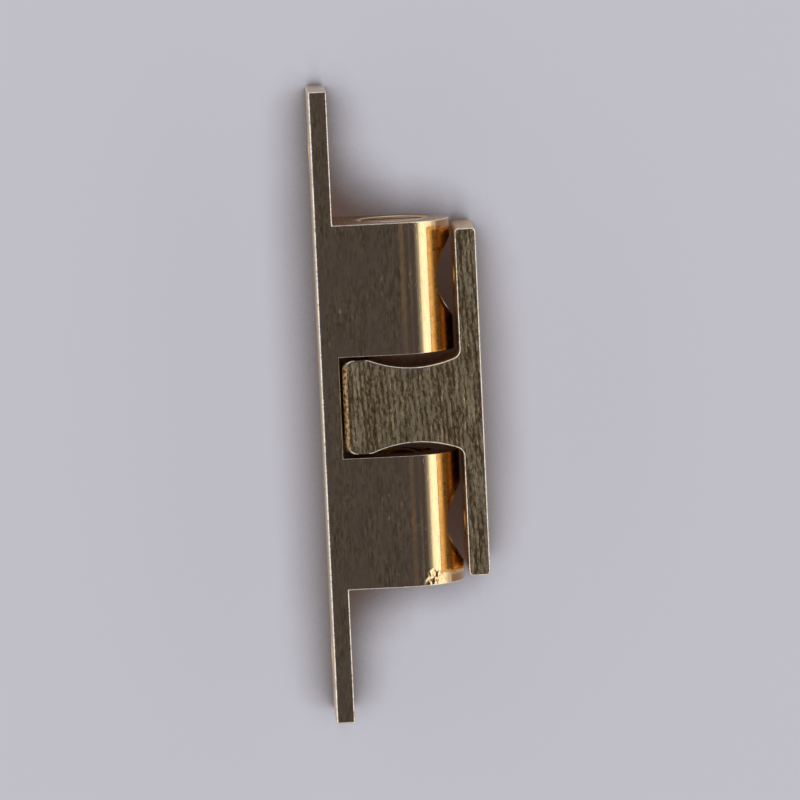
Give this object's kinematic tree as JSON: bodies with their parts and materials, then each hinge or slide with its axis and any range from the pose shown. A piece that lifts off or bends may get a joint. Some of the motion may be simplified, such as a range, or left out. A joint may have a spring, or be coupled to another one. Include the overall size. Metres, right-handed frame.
{
  "type": "spring latch",
  "caption": "Brass ball catch for a cabinet door: a D-section housing holds sprung balls in round-nosed barrels, and they grip the waisted tongue of a T-section striker.",
  "frame": {"origin": "on the housing's back face, midway between its two screw holes", "axes": "+X away from the mounting face, the way the striker pulls out; +Y along the housing; +Z across its width"},
  "size_m": [0.0127, 0.05, 0.009],
  "materials": {
    "housing_brass": "drawn bar, bright nose and dull machined sides",
    "striker_brass": "sawn faces with fine wavy saw marks, extruded sides",
    "ball_brass": "polished",
    "spring_steel": "bright drawn wire",
    "adjuster_brass": "turned"
  },
  "bodies": {
    "housing": {"housing": "housing_brass"},
    "striker": {"striker": "striker_brass"},
    "upper_ball": {"upper_ball": "ball_brass"},
    "lower_ball": {"lower_ball": "ball_brass"},
    "upper_spring": {"upper_spring": "spring_steel"},
    "lower_spring": {"lower_spring": "spring_steel"},
    "upper_adjuster": {"upper_adjuster": "adjuster_brass"},
    "lower_adjuster": {"lower_adjuster": "adjuster_brass"}
  },
  "joints": [
    {"name": "striker_pull", "type": "slide", "parent": "housing", "child": "striker", "axis": [1, 0, 0], "range_m": [0, 0.012]},
    {"name": "upper_ball_slide", "type": "slide", "parent": "housing", "child": "upper_ball", "axis": [0, -1, 0], "range_m": [-0.0005, 0.0007], "stiffness_N_per_m": 4300, "springref_m": 0.003, "deforming": ["upper_spring"]},
    {"name": "upper_adjuster_travel", "type": "slide", "parent": "housing", "child": "upper_spring", "axis": [0, -1, 0], "range_m": [-0.0015, 0.00075], "deforming": ["upper_spring"]},
    {"name": "upper_adjuster_turn", "type": "hinge", "parent": "upper_spring", "child": "upper_adjuster", "pos_m": [0.0063, 0, 0], "axis": [0, -1, 0], "range_deg": [-720, 360]},
    {"name": "lower_ball_slide", "type": "slide", "parent": "housing", "child": "lower_ball", "axis": [0, 1, 0], "range_m": [-0.0005, 0.0007], "stiffness_N_per_m": 4300, "springref_m": 0.003, "deforming": ["lower_spring"]},
    {"name": "lower_adjuster_travel", "type": "slide", "parent": "housing", "child": "lower_spring", "axis": [0, 1, 0], "range_m": [-0.0015, 0.00075], "deforming": ["lower_spring"]},
    {"name": "lower_adjuster_turn", "type": "hinge", "parent": "lower_spring", "child": "lower_adjuster", "pos_m": [0.0063, 0, 0], "axis": [0, 1, 0], "range_deg": [-720, 360]}
  ],
  "couplings": [
    {"joint": "upper_adjuster_turn", "follows": "upper_adjuster_travel", "rad_per_m": 8377.6},
    {"joint": "lower_adjuster_turn", "follows": "lower_adjuster_travel", "rad_per_m": 8377.6}
  ]
}
